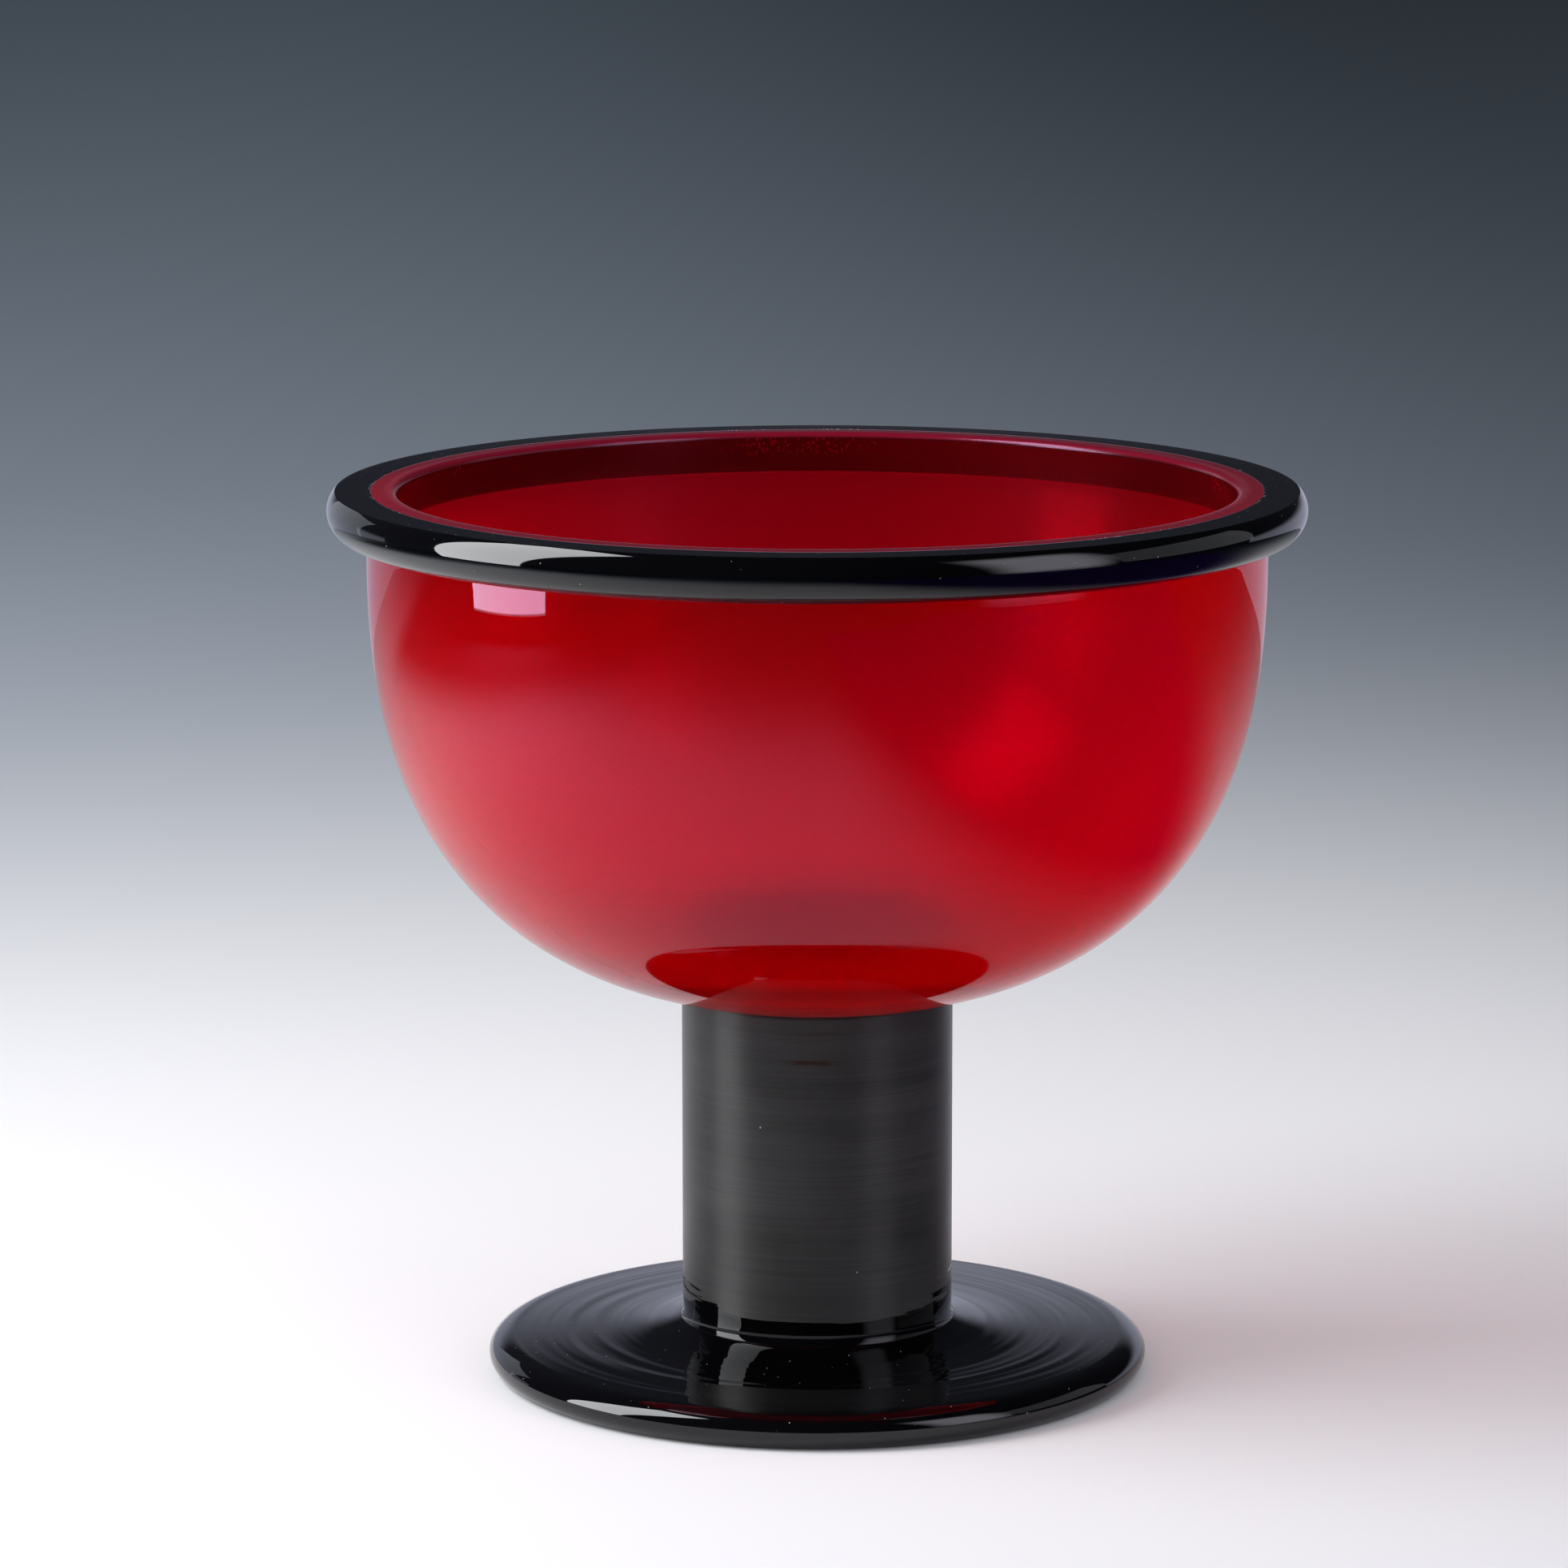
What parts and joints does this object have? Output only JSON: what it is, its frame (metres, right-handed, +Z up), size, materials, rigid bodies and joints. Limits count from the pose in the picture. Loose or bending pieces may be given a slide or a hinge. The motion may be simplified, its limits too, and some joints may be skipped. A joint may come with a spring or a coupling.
{
  "type": "footed glass bowl",
  "caption": "Thick-walled blown bowl of red glass with a ground lip and a black rim ring, on a satin black cylindrical stem and a glossy black round foot",
  "frame": {"origin": "middle of the foot, on the surface that the bowl stands on", "axes": "+Z runs up the axis of the bowl, stem and foot; the part is round about it"},
  "size_m": [0.25, 0.25, 0.2308],
  "materials": {
    "red_glass": "translucent ruby red, slightly cloudy, polished",
    "rim_black_glass": "opaque black, fire polished, ground and polished flat on top",
    "satin_black_glass": "opaque black, turned to a satin with fine rings, glossy at the base",
    "foot_black_glass": "opaque black, fire polished, ground flat underneath"
  },
  "bodies": {
    "root": {"bowl": "red_glass", "rim_ring": "rim_black_glass", "stem": "satin_black_glass", "foot": "foot_black_glass"}
  },
  "joints": []
}
